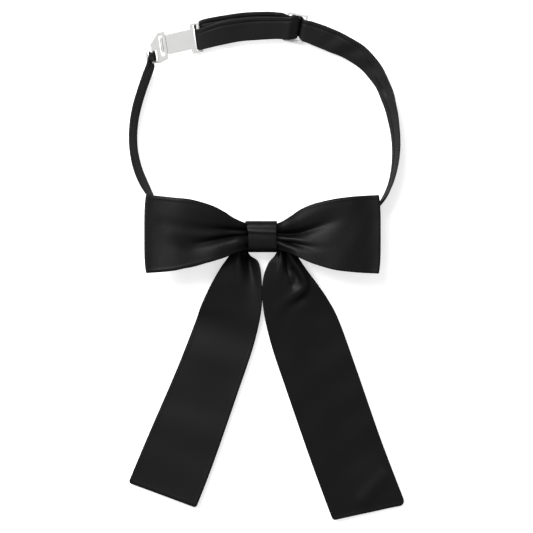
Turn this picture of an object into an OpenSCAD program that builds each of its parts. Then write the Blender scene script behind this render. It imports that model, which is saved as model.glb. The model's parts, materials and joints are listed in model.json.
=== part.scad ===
// Ready-made ribbon bow tie with two long tails and an adjustable neckband.
// It lies face up: X is across the bow, Y runs up to the back of the neckband, Z is towards the face.
// The origin is the middle of the knot's back face, on the surface that the tie lies on.

/* [Bow] */
// Width across both wings
bow_w = 117; // [112:0.5:122]
// Thickness of one folded satin layer
layer_t = 0.9; // [0.6:0.1:1.2]
// Space between the wing's layers where the wing is fullest
wing_puff = 6.5; // [4:0.5:8]

/* [Knot] */
// Width of the knot band
knot_w = 14.6; // [13:0.2:16]
// Height of the knot, top to bottom
knot_h = 15.7; // [15:0.1:16.5]
// Depth of the knot, back to front
knot_d = 13; // [12.6:0.1:14]

/* [Tails] */
// Thickness of the tail ribbon where it lies flat
tail_t = 1.6; // [1.2:0.1:2]

/* [Neckband] */
// Width of the neck strap
strap_w = 12.7; // [12:0.1:13]
// Thickness of the neck strap
strap_t = 1; // [0.8:0.1:1]
// Radius of the arc at the back of the neckband
band_r = 88.2; // [86:0.2:90]
// How far the strap leans back from upright along that arc
band_lean = 57; // [54:1:60]
// Place of the slider along that arc, measured round it from the middle
slider_turn = 10.7; // [4:0.1:14]

/* [Clasp] */
// Radius of the hook's strap bar
hook_bar_r = 0.8; // [0.7:0.05:0.85]
// Radius of the eye's strap bar
eye_bar_r = 0.65; // [0.55:0.05:0.7]
// Thickness of the plastic pieces
plate_t = 1.2; // [1:0.1:1.3]

/* [Hidden] */
$fn = 32;
satin = "#1c1c20";
thread = "#101013";
lining = "#4a4a4d";
plastic = "#e8e8e6";

// The knot's opening, from its back wall to its front wall
wall_t = 1.1;
knot_mid_y = -0.35;
clear = 0.1;

// Heights inside the knot, from the back wall forwards
strap_left_z = wall_t + 0.05 + strap_t / 2;
strap_right_z = strap_left_z + strap_t + clear;
bridge_z = 4.6;
waist_back_z = 7.1;
waist_front_z = 9.7;
waist_t = 1.8;

// The wings rise from the knot to rest on the strap's upper edge
wing_start = knot_w / 2;
wing_end = bow_w / 2;
wing_rise = 0.145;

// Frames: an origin and three unit vectors
band_z = 5.9;
hook_turn = -21;
clasp_at = [-31.7, 99.6, 4.6];
clasp_heading = 15;
clasp_pitch = 16;
clasp_roll = 25;

// ---- small maths ----

function unit(v) = v / norm(v);

// A point on the smooth curve through p, between its points i and i + 1
function curve_point(p, i, t) =
    let (a = p[max(i - 1, 0)], b = p[i], c = p[i + 1], d = p[min(i + 2, len(p) - 1)])
    b + 0.5 * ((c - a) * t + (2 * a - 5 * b + 4 * c - d) * t * t + (3 * (b - c) + d - a) * t * t * t);

// The smooth curve through p, with this many steps between neighbours
function curve(p, steps) = concat(
    [for (i = [0 : len(p) - 2], k = [0 : steps - 1]) curve_point(p, i, k / steps)],
    [p[len(p) - 1]]
);

function place(frame, p) = frame[0] + p[0] * frame[1] + p[1] * frame[2] + p[2] * frame[3];

// The strap's frame on the back arc: along the arc, across the strap, and out of its inner face
function band_frame(turn) =
    let (out = [sin(turn), cos(turn), 0])
    let (along = [cos(turn), -sin(turn), 0])
    let (across = sin(band_lean) * out + [0, 0, cos(band_lean)])
    [[0, 17, band_z] + band_r * out, along, across, cross(along, across)];

// The clasp's frame: its origin is the middle of the hook's strap bar
function clasp_frame() =
    let (along = [cos(clasp_pitch) * cos(clasp_heading), cos(clasp_pitch) * sin(clasp_heading), -sin(clasp_pitch)])
    let (level = [-sin(clasp_heading), cos(clasp_heading), 0])
    let (face = cross(along, level))
    let (across = cos(clasp_roll) * level + sin(clasp_roll) * face)
    [clasp_at, along, across, cross(along, across)];

module in_frame(f)
    multmatrix([
        [f[1][0], f[2][0], f[3][0], f[0][0]],
        [f[1][1], f[2][1], f[3][1], f[0][1]],
        [f[1][2], f[2][2], f[3][2], f[0][2]],
        [0, 0, 0, 1]
    ])
        children();

// ---- ribbons ----
// A station is where a ribbon's two edges are and how thick it is: seven numbers in one list.

function station(edge_a, edge_b, t) = concat(edge_a, edge_b, [t]);
function edge_a(s) = [s[0], s[1], s[2]];
function edge_b(s) = [s[3], s[4], s[5]];
function middle(s) = (edge_a(s) + edge_b(s)) / 2;

// A station across a frame, at x along it and z out of it
function across_at(frame, x, z, half, shift = 0, t = strap_t) =
    station(place(frame, [x, shift + half, z]), place(frame, [x, shift - half, z]), t);

// Stations round a bar that runs across a frame
function round_bar(frame, x, r, from, to, half, shift = 0) =
    [for (k = [0 : 12]) let (a = from + (to - from) * k / 12)
        across_at(frame, x + r * cos(a), r * sin(a), half, shift)];

// Stations of a strap that stands on the table, from [x, y, height of its low edge, lean] points.
// The outer side is on the left of the path, and a strap that leans outwards by 90 lies flat.
function standing(points) =
    [for (i = [0 : len(points) - 1])
        let (p = points[i])
        let (way = points[min(i + 1, len(points) - 1)] - points[max(i - 1, 0)])
        let (out = unit([-way[1], way[0], 0]))
        let (mid = [p[0], p[1], p[2] + strap_w / 2 * cos(p[3]) + strap_t / 2 * abs(sin(p[3]))])
        let (half = strap_w / 2 * (sin(p[3]) * out + [0, 0, cos(p[3])]))
        station(mid + half, mid - half, strap_t)];

function ring(stations, i, closed) =
    let (n = len(stations))
    let (s = stations[i])
    let (before = closed ? (i + n - 1) % n : max(i - 1, 0))
    let (after = closed ? (i + 1) % n : min(i + 1, n - 1))
    let (along = middle(stations[after]) - middle(stations[before]))
    let (up = unit(cross(along, edge_b(s) - edge_a(s))) * s[6] / 2)
    [edge_a(s) + up, edge_b(s) + up, edge_b(s) - up, edge_a(s) - up];

// The solid ribbon through these stations; a closed one joins its end to its start
module ribbon(stations, closed = false) {
    n = len(stations);
    points = [for (i = [0 : n - 1]) each ring(stations, i, closed)];
    sides = [for (i = [0 : closed ? n - 1 : n - 2], k = [0 : 3])
        let (here = 4 * i, there = 4 * ((i + 1) % n), m = (k + 1) % 4)
        each [[here + k, here + m, there + m], [here + k, there + m, there + k]]];
    last = 4 * (n - 1);
    ends = closed ? [] : [[2, 1, 0], [3, 2, 0], [last, last + 1, last + 2], [last, last + 2, last + 3]];
    polyhedron(points = points, faces = concat(sides, ends));
}

// A rounded rectangle centred on the origin
module rounded(w, h, r) {
    square([w - 2 * r, h], center = true);
    square([w, h - 2 * r], center = true);
    for (x = [-1, 1], y = [-1, 1])
        translate([x * (w / 2 - r), y * (h / 2 - r)]) circle(r);
}

// A band that runs round the X axis: h high along Y, d deep along Z, wide along X
module loop_band(wide, h, d, t, outer_r, inner_r)
    rotate([90, 0, 90])
        linear_extrude(wide, center = true)
            difference() {
                rounded(h, d, outer_r);
                rounded(h - 2 * t, d - 2 * t, inner_r);
            }

// Turns of thread wound side by side round the X axis
module wound_thread(turns, h, d)
    for (k = [0 : turns - 1])
        translate([(k - (turns - 1) / 2) * 0.7, 0, 0]) loop_band(0.5, h, d, 0.25, 0.5, 0.25);

// A row of short bars of thread along X
module stitch_row(count, pitch, length, d)
    for (k = [0 : count - 1])
        translate([(k - (count - 1) / 2) * pitch, 0, 0])
            rotate([90, 0, 0])
                cylinder(h = length, d = d, center = true);

// ---- bow and knot ----

// The wing's upper and lower outline: distance from the middle, then height
wing_outline = [
    [0, 6.1, -6.4], [wing_start, 6.2, -6.8], [14, 9.2, -8.8], [18.5, 12, -10.6], [25, 15.1, -12.7],
    [35, 17.9, -15], [47, 19.3, -16.8], [wing_end, 20.2, -18.1]
];

// Height of a wing's back layer, and the space up to its front layer
function wing_back_z(x) = waist_back_z + wing_rise * max(0, x - wing_start);
function wing_gap(x) =
    let (t = max(0, x - wing_start) / (wing_end - wing_start))
    waist_front_z - waist_back_z + (wing_puff - 2.6) * sin(180 * pow(t, 0.6)) * (1 - 0.4 * t);
function wing_layer_t(x) = layer_t + (waist_t - layer_t) * max(0, 1 - x / 20);

function wing_station(side, row, front) =
    let (x = row[0], z = wing_back_z(x) + (front ? wing_gap(x) : 0))
    station([side * x, row[1], z], [side * x, row[2], z], wing_layer_t(x));

// One wing's stations along the back layer to the end fold, and back along the front layer
function wing_stations(side) =
    let (rows = curve(wing_outline, 3), n = len(rows))
    let (fold_r = wing_gap(wing_end) / 2, end = rows[n - 1])
    concat(
        [for (i = [0 : n - 2]) wing_station(side, rows[i], false)],
        [for (a = [-90 : 22.5 : 90])
            let (x = wing_end - fold_r + fold_r * cos(a), z = wing_back_z(wing_end) + fold_r + fold_r * sin(a))
            station([side * x, end[1], z], [side * x, end[2], z], layer_t)],
        [for (i = [n - 2 : -1 : 1]) wing_station(side, rows[i], true)]
    );

module bow_loop() color(satin) {
    right = wing_stations(1);
    left = wing_stations(-1);
    front_middle = wing_station(1, wing_outline[0], true);
    left_back = [for (i = [len(left) - 1 : -1 : 1]) left[i]];
    ribbon(concat(right, [front_middle], left_back), closed = true);
}

function stiff_station(side, row) =
    let (x = row[0], z = wing_back_z(x) + wing_layer_t(x) / 2 + 0.4)
    station([side * x, row[1] - 1.2, z], [side * x, row[2] + 1.2, z], 0.5);

module bow_interfacing() color(lining) {
    rows = [for (row = curve(wing_outline, 3)) if (row[0] < wing_end - 5) row];
    left = [for (i = [len(rows) - 1 : -1 : 1]) stiff_station(-1, rows[i])];
    ribbon(concat(left, [for (row = rows) stiff_station(1, row)]));
}

module waist_thread() color(thread)
    translate([0, knot_mid_y, (waist_back_z + waist_front_z) / 2])
        wound_thread(5, 13.2, waist_front_z - waist_back_z + waist_t + 0.6);

module knot_wrap() color(satin)
    translate([0, knot_mid_y, knot_d / 2])
        loop_band(knot_w, knot_h, knot_d, wall_t, 3.4, 0.4);

// Ladder stitches along the seam in the knot's back wall
module knot_stitches() color(thread)
    translate([0, knot_mid_y, wall_t / 2])
        stitch_row(6, 2.2, 2.4, 0.4);

// ---- tails ----

// Pairs of points on the tail's inner and outer edges, then its height and thickness
tail_left_rows = [
    [-8.5, -5.5, -10.5, 0.5, bridge_z, 1.6],
    [-7.4, -9.6, -16, -9.5, 4.4, 2],
    [-2.4, -13.2, -20.3, -15.5, 3.9, 2.4],
    [-0.9, -22, -25.2, -24, 2.8, 2.3],
    [-0.9, -36, -30.4, -35, 1.5, 2],
    [-4.7, -54, -33.4, -43.5, 0.95, tail_t],
    [-12.7, -78, -42.6, -67, 0.85, tail_t],
    [-25.2, -114, -57.7, -102, 0.85, tail_t],
    [-33.7, -136, -66.9, -124, 0.85, tail_t]
];
tail_right_rows = [
    [8.5, -5.5, 10.5, 0.5, bridge_z, 1.6],
    [7.4, -9.6, 17.2, -10.2, 4.4, 2],
    [3.1, -14.2, 21.8, -17, 3.9, 2.4],
    [0.5, -23, 27, -24, 2.8, 2.3],
    [0.8, -36, 32.4, -32, 1.5, 2],
    [4.7, -54, 37.9, -42.6, 0.95, tail_t],
    [12.7, -78, 46.5, -66.4, 0.85, tail_t],
    [25.2, -114, 59, -102.4, 0.85, tail_t],
    [35.7, -142.4, 71.4, -134.8, 0.85, tail_t]
];

module tail(rows) color(satin)
    ribbon([for (p = curve(rows, 4)) station([p[0], p[1], p[4]], [p[2], p[3], p[4]], p[5])]);

module tail_left() tail(tail_left_rows);
module tail_right() tail(tail_right_rows);

module tail_bridge() color(satin)
    translate([0, -2.3, bridge_z])
        rotate([90, 0, 90])
            linear_extrude(knot_w, center = true)
                rounded(6.3, 1.8, 0.8);

module tail_thread() color(thread)
    translate([0, -2.3, bridge_z])
        wound_thread(4, 6.9, 2.35);

// ---- neck straps ----

strap_left_path = [
    [5.6, knot_mid_y, strap_left_z - strap_t / 2, -90], [-8.5, knot_mid_y, strap_left_z - strap_t / 2, -90],
    [-20, 1.5, 0.4, -86], [-36, 6, 0.05, -58], [-48, 12, 0.05, -20], [-54.3, 17.5, 0.05, 4],
    [-58.4, 24, 0.05, 12], [-62.2, 33, 0.05, 14], [-64.6, 43, 0.05, 14], [-64.7, 53, 0.05, 14],
    [-63.2, 63, 0.05, 14], [-60.4, 73, 0.05, 14], [-57.5, 81, 0.2, 16]
];
strap_right_path = [
    [48, 91, 0.8, 49], [53.2, 86, 0.3, 41], [57.2, 80.4, 0.1, 34], [60.3, 75, 0.05, 29],
    [64.2, 63, 0.05, 20], [66.2, 51, 0.05, 13], [66.6, 40, 0.05, 8], [65, 29, 0.05, 5],
    [62.4, 21.4, 0.05, 4], [57.6, 14.4, 0.05, -3], [50, 9.5, 0.05, -20], [36, 4.6, 0.05, -58],
    [20, 1.2, 0.4, -86],
    [8.5, knot_mid_y, strap_right_z - strap_t / 2, -90], [-5.6, knot_mid_y, strap_right_z - strap_t / 2, -90]
];

// Bars that the straps turn round, as places in their frames
eye_bar_x = -25.35;
eye_bar_y = -4.4;
eye_loop_r = eye_bar_r + 0.15 + strap_t / 2;
eye_loop_half = 2.4;
hook_loop_r = hook_bar_r + 0.15 + strap_t / 2;
slider_bar_r = 0.8;
slider_rise = 0.5;
slider_loop_r = slider_bar_r + 0.1 + strap_t / 2;
half_w = strap_w / 2;

module strap_left() color(satin) {
    f = clasp_frame();
    up = curve(standing(strap_left_path), 4);
    near_eye = across_at(f, eye_bar_x + 0.4, -3.1, 4.2, eye_bar_y - 2.6);
    under_eye = across_at(f, eye_bar_x + 1.9, -1.5, eye_loop_half, eye_bar_y);
    wrap = round_bar(f, eye_bar_x, eye_loop_r, -8, 205, eye_loop_half, eye_bar_y);
    tail_end = across_at(f, eye_bar_x - 2.2, -2.6, eye_loop_half, eye_bar_y - 0.6);
    run = [for (i = [0 : len(up) - 2]) up[i]];
    ribbon(concat(run, curve([up[len(up) - 1], near_eye, under_eye], 5), wrap, [tail_end]));
}

// The weave through the slider, seen along the strap: each row is x along, z out of the slider's face
weave = [[7.5, 1.1], [4.6, 1.25], [3.2, 0.5], [2.7, -0.9], [1.6, -2.2], [0.5, -2.55], [0.01, -2.55]];
function weave_side(side) =
    let (f = band_frame(slider_turn))
    [for (p = weave) across_at(f, side * p[0], p[1], half_w - 0.1)];

module strap_right() color(satin) {
    slider_part = weave_side(1);
    back_to_front = [for (i = [len(slider_part) - 1 : -1 : 0]) slider_part[i]];
    arc = [for (turn = [slider_turn + 9 : 5 : slider_turn + 15]) across_at(band_frame(turn), 0, 1, half_w)];
    ribbon(concat(curve(back_to_front, 3), curve(concat(arc, standing(strap_right_path)), 4)));
}

module strap_back_layer() color(satin) {
    f = clasp_frame();
    slider_part = weave_side(-1);
    to_slider = [for (i = [len(slider_part) - 1 : -1 : 0]) slider_part[i]];
    arc = [for (turn = [slider_turn - 9 : -6 : hook_turn + 7]) across_at(band_frame(turn), 0, 1, half_w, 1.6)];
    to_hook = [across_at(f, 3.5, -1.7, half_w, 0.8)];
    wrap = round_bar(f, 0, hook_loop_r, 270, 180, half_w);
    ribbon(concat(curve(to_slider, 3), curve(concat(arc, to_hook, [wrap[0]]), 4), wrap));
}

module strap_front_layer() color(satin) {
    f = clasp_frame();
    s = band_frame(slider_turn);
    wrap = round_bar(f, 0, hook_loop_r, 180, 90, half_w);
    arc = [for (turn = [hook_turn + 7 : 6 : slider_turn - 9]) across_at(band_frame(turn), 0, 2.3, half_w, -0.5)];
    over_slider = [for (x = [-7.5, -4.6, -2.4]) across_at(s, x, 2.5, half_w - 0.1)];
    bar_wrap = round_bar(s, 0, slider_loop_r, 80, -190, half_w - 0.1);
    ribbon(concat(wrap, curve(concat([wrap[12]], arc, over_slider), 4), bar_wrap));
}

module strap_anchor_stitches() color(thread)
    translate([0, 0, strap_right_z])
        for (y = [-4, 4])
            translate([0, y, 0]) rotate([0, 0, 90]) stitch_row(1, 0, 9, 0.4);

// ---- clasp and slider ----

module hook() color(plastic)
    in_frame(clasp_frame()) {
        arm_y = half_w + 0.9;
        translate([-10.8, 0, 0]) linear_extrude(plate_t, center = true) rounded(13, 10.4, 0.6);
        translate([-3.5, 0, 0]) linear_extrude(plate_t, center = true) rounded(1.6, 2 * arm_y + 1, 0.5);
        for (side = [-1, 1])
            translate([-1.6, side * arm_y, 0]) linear_extrude(plate_t, center = true) rounded(5, 1, 0.3);
        rotate([90, 0, 0]) cylinder(h = 2 * arm_y + 1, r = hook_bar_r, center = true);
        translate([-16.9, 0, -0.95]) cube([1.2, 7.6, 1.3], center = true);
        translate([-18.3, 0, -1.2]) cube([3.6, 7.6, 0.8], center = true);
        translate([-19.7, 0, -0.6]) cube([0.8, 7.6, 2], center = true);
    }

eye_outline = [[-17.5, 7], [-21.3, 7.2], [-25.35, 2.6], [-25.35, -8], [-21.9, -8.6], [-17.5, -7.4]];

module eye() color(plastic)
    in_frame(clasp_frame()) {
        linear_extrude(plate_t, center = true)
            difference() {
                polygon(eye_outline);
                translate([-20, 0]) rounded(2, 10.4, 0.6);
                translate([eye_bar_x + 0.3, eye_bar_y]) rounded(4.6, 5.6, 0.5);
            }
        translate([eye_bar_x, -2.7, 0])
            rotate([90, 0, 0])
                cylinder(h = 10.6, r = eye_bar_r, center = true);
    }

module slider() color(plastic)
    in_frame(band_frame(slider_turn)) {
        translate([0, slider_rise, 0]) {
            linear_extrude(plate_t, center = true)
                difference() {
                    rounded(10.6, strap_w + 3.5, 1.2);
                    rounded(8.2, strap_w + 1, 0.6);
                }
            rotate([90, 0, 0]) cylinder(h = strap_w + 2, r = slider_bar_r, center = true);
        }
    }

// Bars of thread through the strap beside the hardware
module eye_bartack() color(thread)
    in_frame(clasp_frame())
        for (y = [-1.2, 0, 1.2])
            translate([eye_bar_x - 2, eye_bar_y + y, -2.4])
                cylinder(h = 1.6, d = 0.4, center = true);

module slider_bartack() color(thread)
    in_frame(band_frame(slider_turn))
        for (y = [-4.5 : 1.5 : 4.5])
            translate([-2.2, y, 1.9])
                cylinder(h = 1.4, d = 0.4, center = true);

knot_wrap();
knot_stitches();
bow_loop();
bow_interfacing();
waist_thread();
tail_bridge();
tail_thread();
tail_left();
tail_right();
strap_left();
strap_right();
strap_back_layer();
strap_front_layer();
strap_anchor_stitches();
eye();
hook();
slider();
eye_bartack();
slider_bartack();
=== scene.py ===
"""Black satin ribbon bow tie with long tails and an adjustable neckband, laid face up.

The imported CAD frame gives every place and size. Each cloth piece is a grid of points on the
middle surface of the ribbon, given its thickness and rounded edges by cloth(). Shapes are
worked out in millimetres, in the frame's own axes, and become metres when a mesh is made.
"""
import json
import math

import bmesh
import bpy
import numpy as np
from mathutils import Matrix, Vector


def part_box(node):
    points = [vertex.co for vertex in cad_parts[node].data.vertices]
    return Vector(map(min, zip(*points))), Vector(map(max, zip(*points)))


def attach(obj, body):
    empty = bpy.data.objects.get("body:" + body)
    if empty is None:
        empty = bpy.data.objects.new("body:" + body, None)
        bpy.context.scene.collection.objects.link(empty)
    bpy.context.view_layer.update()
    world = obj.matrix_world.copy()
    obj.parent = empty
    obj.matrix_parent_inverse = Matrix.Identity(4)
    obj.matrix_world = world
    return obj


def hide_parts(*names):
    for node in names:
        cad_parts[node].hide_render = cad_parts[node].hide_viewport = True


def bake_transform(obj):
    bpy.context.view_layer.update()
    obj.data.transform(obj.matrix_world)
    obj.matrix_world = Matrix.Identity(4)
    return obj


MM = 0.001
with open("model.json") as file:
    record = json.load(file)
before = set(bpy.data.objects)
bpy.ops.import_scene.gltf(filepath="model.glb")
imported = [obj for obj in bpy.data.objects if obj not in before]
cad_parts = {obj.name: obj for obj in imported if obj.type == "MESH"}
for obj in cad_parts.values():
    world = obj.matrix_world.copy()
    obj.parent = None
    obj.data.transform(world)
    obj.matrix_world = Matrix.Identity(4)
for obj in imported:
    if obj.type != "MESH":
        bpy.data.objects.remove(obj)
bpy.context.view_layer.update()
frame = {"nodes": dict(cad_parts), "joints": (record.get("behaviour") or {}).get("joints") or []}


def box_mm(node):
    """A CAD node's lowest and highest corners, in millimetres."""
    low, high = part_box(node)
    return np.array(low) / MM, np.array(high) / MM


def joint_place(name):
    """A hinge's place, in millimetres, and its axis."""
    joint = next(j for j in frame["joints"] if j["name"] == name)
    return np.array(joint["pos_m"]) / MM, np.array(joint["axis"], float)


# ---- driving sizes, in millimetres ----
KNOT_LOW, KNOT_HIGH = box_mm("knot_wrap")
KNOT_Y = (KNOT_LOW[1] + KNOT_HIGH[1]) / 2
KNOT_WIDTH = KNOT_HIGH[0] - KNOT_LOW[0]
BOW_HIGH = box_mm("bow_loop")[1]
WING_START = KNOT_HIGH[0]
WING_END = BOW_HIGH[0]
BRIDGE_Z = joint_place("tail_left_swing")[0][2] + 0.1
STRAP_W = 12.7
STRAP_T = 1.0
LAYER_T = 0.9
TAIL_T = 1.3
KNOT_T = 1.1


# ---- curves ----
def smooth_curve(points, steps):
    """A Catmull-Rom curve through the points, with this many steps between neighbours."""
    points = np.asarray(points, float)
    last = len(points) - 1
    out = []
    for i in range(last):
        a, b = points[max(i - 1, 0)], points[i]
        c, d = points[i + 1], points[min(i + 2, last)]
        for t in np.arange(steps) / steps:
            bend = (2 * a - 5 * b + 4 * c - d) * t**2 + (3 * (b - c) + d - a) * t**3
            out.append(b + 0.5 * ((c - a) * t + bend))
    return np.array(out + [points[last]])


def unit(v):
    """The vectors scaled to length 1."""
    return v / np.linalg.norm(v, axis=-1, keepdims=True)


def travelled(points):
    """The distance along a line of points, from its first one."""
    return np.concatenate([[0], np.cumsum(np.linalg.norm(np.diff(points, axis=0), axis=1))])


def fade(value, start, stop):
    """0 at start and 1 at stop, smoothly."""
    t = np.clip((value - start) / (stop - start), 0, 1)
    return t * t * (3 - 2 * t)


def ripple(x, y, scale, seed):
    """A slow unevenness of about -1 to 1, from a few sines."""
    rng = np.random.default_rng(seed)
    total = 0
    for _ in range(6):
        angle, phase = rng.uniform(0, 2 * math.pi, 2)
        pitch = scale * rng.uniform(0.6, 1.6)
        along = np.cos(angle) * x + np.sin(angle) * y
        total = total + np.sin(2 * math.pi * along / pitch + phase)
    return total / 3


def fold(x, y, points, width, height):
    """A ridge, or a valley where height is negative, that follows points in the XY plane.

    width and height are its values at the first and the last point, and it fades out past both.
    """
    line = smooth_curve(points, 40)
    best = np.full(x.shape, np.inf)
    share = np.zeros(x.shape)
    for (px, py), s in zip(line, np.linspace(0, 1, len(line))):
        away = (x - px) ** 2 + (y - py) ** 2
        share = np.where(away < best, s, share)
        best = np.minimum(away, best)
    spread = width[0] + (width[1] - width[0]) * share
    tall = height[0] + (height[1] - height[0]) * fade(share, 0, 1)
    return tall * np.exp(-best / (2 * spread**2))


# ---- cloth ----
def across_samples(count):
    """Places across a ribbon from 0 to 1, closest together at its edges."""
    return (np.sin(np.linspace(-1, 1, count) * math.pi / 2) + 1) / 2


def make_piece(name, points, faces, material, metric=None):
    """A smooth mesh piece from points in millimetres, with its weave coordinates in millimetres."""
    mesh = bpy.data.meshes.new(name)
    mesh.from_pydata((points * MM).tolist(), [], faces)
    piece = bpy.data.objects.new(name, mesh)
    bpy.context.scene.collection.objects.link(piece)
    mesh.materials.append(material)
    if metric is not None:
        layer = mesh.uv_layers.new(name="weave")
        corners = np.zeros(len(mesh.loops), dtype=np.int32)
        mesh.loops.foreach_get("vertex_index", corners)
        layer.data.foreach_set("uv", metric[corners].astype(np.float32).ravel())
    tidy = bmesh.new()
    tidy.from_mesh(mesh)
    bmesh.ops.remove_doubles(tidy, verts=tidy.verts, dist=1e-6)
    tidy.to_mesh(mesh)
    tidy.free()
    mesh.shade_smooth()
    return piece


def cloth(name, middle, thickness, material, closed=False):
    """A ribbon of that thickness about a grid of middle points, rows along it and columns across.

    Its edges are round. A closed ribbon's last row joins its first one.
    """
    rows, cols = middle.shape[:2]
    if closed:
        along = np.roll(middle, -1, 0) - np.roll(middle, 1, 0)
    else:
        along = np.gradient(middle, axis=0)
    normal = unit(np.cross(along, np.gradient(middle, axis=1)))
    half = np.broadcast_to(np.asarray(thickness, float) / 2, (rows, cols))
    step = np.linalg.norm(np.diff(middle, axis=1), axis=2)
    from_low = np.concatenate([np.zeros((rows, 1)), np.cumsum(step, 1)], 1)
    to_edge = np.minimum(from_low, from_low[:, -1:] - from_low)
    tall = half * np.sqrt(1 - (1 - np.clip(to_edge / half, 0, 1)) ** 2)
    length = travelled(middle[:, cols // 2])
    if not closed:
        to_end = np.minimum(length, length[-1] - length)[:, None]
        tall = tall * np.sqrt(1 - (1 - np.clip(to_end / half, 0, 1)) ** 2)
    offset = normal * tall[..., None]
    points = np.concatenate([(middle + offset).reshape(-1, 3), (middle - offset).reshape(-1, 3)])
    other = rows * cols
    faces = []
    for i in range(rows if closed else rows - 1):
        j = (i + 1) % rows
        for k in range(cols - 1):
            a, b = i * cols + k, i * cols + k + 1
            c, d = j * cols + k + 1, j * cols + k
            faces.append((a, d, c, b))
            faces.append((other + a, other + b, other + c, other + d))
    metric = np.stack(np.broadcast_arrays(length[:, None], from_low), -1).reshape(-1, 2)
    return make_piece(name, points, faces, material, np.concatenate([metric, metric]))


def resampled(stations, spacing):
    """The stations again at an even spacing along the ribbon, and closer together at its ends."""
    stations = np.asarray(stations, float)
    at = travelled((stations[:, :3] + stations[:, 3:]) / 2)
    ends = np.array([0, 0.03, 0.12, 0.28, 0.5])
    inner = np.linspace(1, at[-1] - 1, max(int(at[-1] / spacing), 4))
    wanted = np.concatenate([ends, inner, at[-1] - ends[::-1]])
    return np.stack([np.interp(wanted, at, stations[:, c]) for c in range(6)], 1)


def grid_between(stations, columns):
    """Middle points across each pair of edge points."""
    s = across_samples(columns)[None, :, None]
    return stations[:, None, :3] * (1 - s) + stations[:, None, 3:] * s


# ---- materials ----
def new_material(name, colour, roughness, specular):
    """A material, and its tree and shader."""
    material = bpy.data.materials.new(name)
    material.use_nodes = True
    tree = material.node_tree
    shader = tree.nodes["Principled BSDF"]
    shader.inputs["Base Color"].default_value = (*colour, 1)
    shader.inputs["Roughness"].default_value = roughness
    shader.inputs["Specular IOR Level"].default_value = specular
    return material, tree, shader


def node_of(tree, kind, **values):
    """A node of that kind with these input values, or settings where it has no such input."""
    node = tree.nodes.new(kind)
    for key, value in values.items():
        label = key.replace("_", " ")
        if label in node.inputs:
            node.inputs[label].default_value = value
        else:
            setattr(node, key, value)
    return node


def shades(tree, factor, low, high):
    """A colour from low to high by a factor."""
    mix = node_of(tree, "ShaderNodeMix", data_type="RGBA")
    mix.inputs["A"].default_value = (*low, 1)
    mix.inputs["B"].default_value = (*high, 1)
    tree.links.new(factor, mix.inputs["Factor"])
    return mix.outputs["Result"]


def levels(tree, factor, low, high):
    """A number from low to high by a factor."""
    spread = node_of(tree, "ShaderNodeMapRange", To_Min=low, To_Max=high)
    tree.links.new(factor, spread.inputs["Value"])
    return spread.outputs["Result"]


def satin(name, tone, roughness, specular, grain):
    """Satin: fine floats across the ribbon in an uneven row, on a slightly uneven sheen."""
    material, tree, shader = new_material(name, (tone, tone, tone), roughness, specular)
    link = tree.links.new
    place_uv = node_of(tree, "ShaderNodeUVMap", uv_map="weave")
    floats = node_of(tree, "ShaderNodeMapping")
    floats.inputs["Scale"].default_value = (2.4, 1.0, 1)
    link(place_uv.outputs["UV"], floats.inputs["Vector"])
    thread = node_of(tree, "ShaderNodeTexNoise", Scale=1.0, Detail=2.0, Roughness=0.6)
    link(floats.outputs["Vector"], thread.inputs["Vector"])
    weave = node_of(tree, "ShaderNodeTexWave", Scale=0.55, Distortion=1.5, Detail=1.0)
    weave.bands_direction = "DIAGONAL"
    link(place_uv.outputs["UV"], weave.inputs["Vector"])
    cloud = node_of(tree, "ShaderNodeTexNoise", Scale=0.06, Detail=3.0)
    link(place_uv.outputs["UV"], cloud.inputs["Vector"])
    colour = shades(tree, cloud.outputs["Fac"], [tone * 0.8] * 3, [tone * 1.2] * 3)
    link(colour, shader.inputs["Base Color"])
    link(levels(tree, thread.outputs["Fac"], roughness - 0.05, roughness + 0.05),
         shader.inputs["Roughness"])
    fine = node_of(tree, "ShaderNodeBump", Strength=grain, Distance=0.0003)
    link(thread.outputs["Fac"], fine.inputs["Height"])
    twill = node_of(tree, "ShaderNodeBump", Strength=0.08, Distance=0.00005)
    link(weave.outputs["Fac"], twill.inputs["Height"])
    link(fine.outputs["Normal"], twill.inputs["Normal"])
    link(twill.outputs["Normal"], shader.inputs["Normal"])
    shader.inputs["Anisotropic"].default_value = 0.6
    shader.inputs["Anisotropic Rotation"].default_value = 0.25
    along = node_of(tree, "ShaderNodeTangent", direction_type="UV_MAP", uv_map="weave")
    link(along.outputs["Tangent"], shader.inputs["Tangent"])
    return material


def thread_material():
    """Spun polyester thread: matt, with a fine fuzz."""
    material, tree, shader = new_material("thread", (0.008, 0.008, 0.009), 0.7, 0.2)
    place_object = node_of(tree, "ShaderNodeTexCoord")
    fuzz = node_of(tree, "ShaderNodeTexNoise", Scale=9000.0, Detail=3.0)
    tree.links.new(place_object.outputs["Object"], fuzz.inputs["Vector"])
    colour = shades(tree, fuzz.outputs["Fac"], (0.005, 0.005, 0.006), (0.016, 0.016, 0.017))
    tree.links.new(colour, shader.inputs["Base Color"])
    bump = node_of(tree, "ShaderNodeBump", Strength=0.3, Distance=0.00004)
    tree.links.new(fuzz.outputs["Fac"], bump.inputs["Height"])
    tree.links.new(bump.outputs["Normal"], shader.inputs["Normal"])
    return material


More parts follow.
